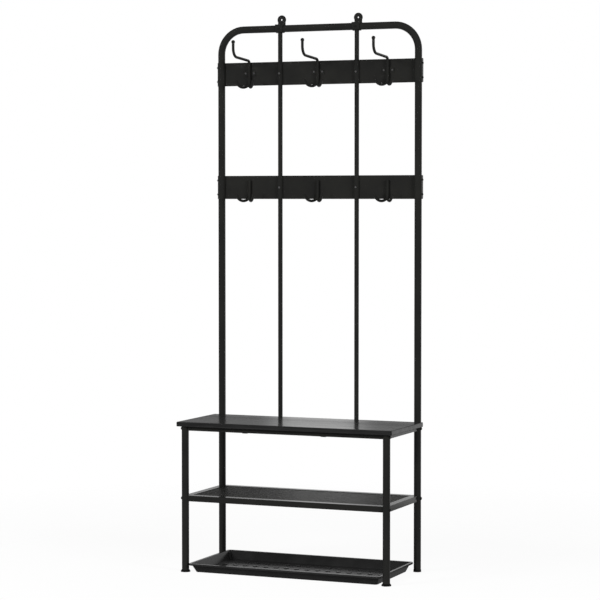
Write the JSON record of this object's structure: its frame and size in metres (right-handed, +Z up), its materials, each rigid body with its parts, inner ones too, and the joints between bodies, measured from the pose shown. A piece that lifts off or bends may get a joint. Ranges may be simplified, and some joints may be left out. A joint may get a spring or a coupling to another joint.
{
  "type": "hall tree with hooks",
  "caption": "Black tubular steel hall tree with a dark wood-grain bench board, a mesh shelf, a loose boot tray, and two rails of hooks for hats and coats on its open back.",
  "frame": {"origin": "bottom centre of the bounding box of the whole object", "axes": "+Z up, +Y back towards the wall, +X to the right seen from the front; the bench opens towards -Y"},
  "size_m": [0.79, 0.34, 1.93],
  "materials": {
    "black_frame": "satin powder coat, near black",
    "black_mesh": "satin powder coat on expanded metal",
    "black_fasteners": "black finished screws",
    "zinc_screws": "bright zinc plated",
    "zinc_hidden": "zinc plated, dull",
    "wood_board": "dark grey-brown wood grain, matt",
    "tray_black": "moulded, satin black",
    "foot_rubber": "moulded, matt black"
  },
  "bodies": {
    "frame": {"back_rod_left": "black_frame", "back_rod_right": "black_frame", "bench_board": "wood_board", "bench_bolts": "black_fasteners", "bench_frame": "black_frame", "bench_inserts": "zinc_hidden", "board_screws": "zinc_hidden", "coat_hook_centre": "black_frame", "coat_hook_left": "black_frame", "coat_hook_right": "black_frame", "coat_hook_screws": "zinc_hidden", "front_foot_inserts": "zinc_hidden", "front_leg_left": "black_frame", "front_leg_right": "black_frame", "hat_hook_centre": "black_frame", "hat_hook_left": "black_frame", "hat_hook_nuts": "zinc_hidden", "hat_hook_right": "black_frame", "hat_hook_screws": "zinc_screws", "hook_rail_lower": "black_frame", "hook_rail_upper": "black_frame", "rail_end_screws": "black_fasteners", "rear_foot_left": "foot_rubber", "rear_foot_right": "foot_rubber", "rear_leg_left": "black_frame", "rear_leg_right": "black_frame", "rod_base_screws": "zinc_hidden", "rod_inserts": "zinc_hidden", "rod_rail_screws": "zinc_screws", "shelf_bolts": "black_fasteners", "shelf_frame": "black_frame", "shelf_inserts": "zinc_hidden", "shelf_mesh": "black_mesh", "upper_hoop": "black_frame", "wall_bracket_left": "black_frame", "wall_bracket_right": "black_frame", "wall_bracket_screws": "black_fasteners"},
    "tray": {"boot_tray": "tray_black"},
    "foot_left": {"front_foot_left": "foot_rubber"},
    "foot_right": {"front_foot_right": "foot_rubber"}
  },
  "joints": [
    {"name": "tray_slide", "type": "slide", "parent": "frame", "child": "tray", "axis": [0, -1, 0], "range_m": [0, 0.33]},
    {"name": "foot_left_thread", "type": "slide", "parent": "frame", "child": "foot_left", "axis": [0, 0, -1], "range_m": [0, 0.01]},
    {"name": "foot_right_thread", "type": "slide", "parent": "frame", "child": "foot_right", "axis": [0, 0, -1], "range_m": [0, 0.01]}
  ]
}
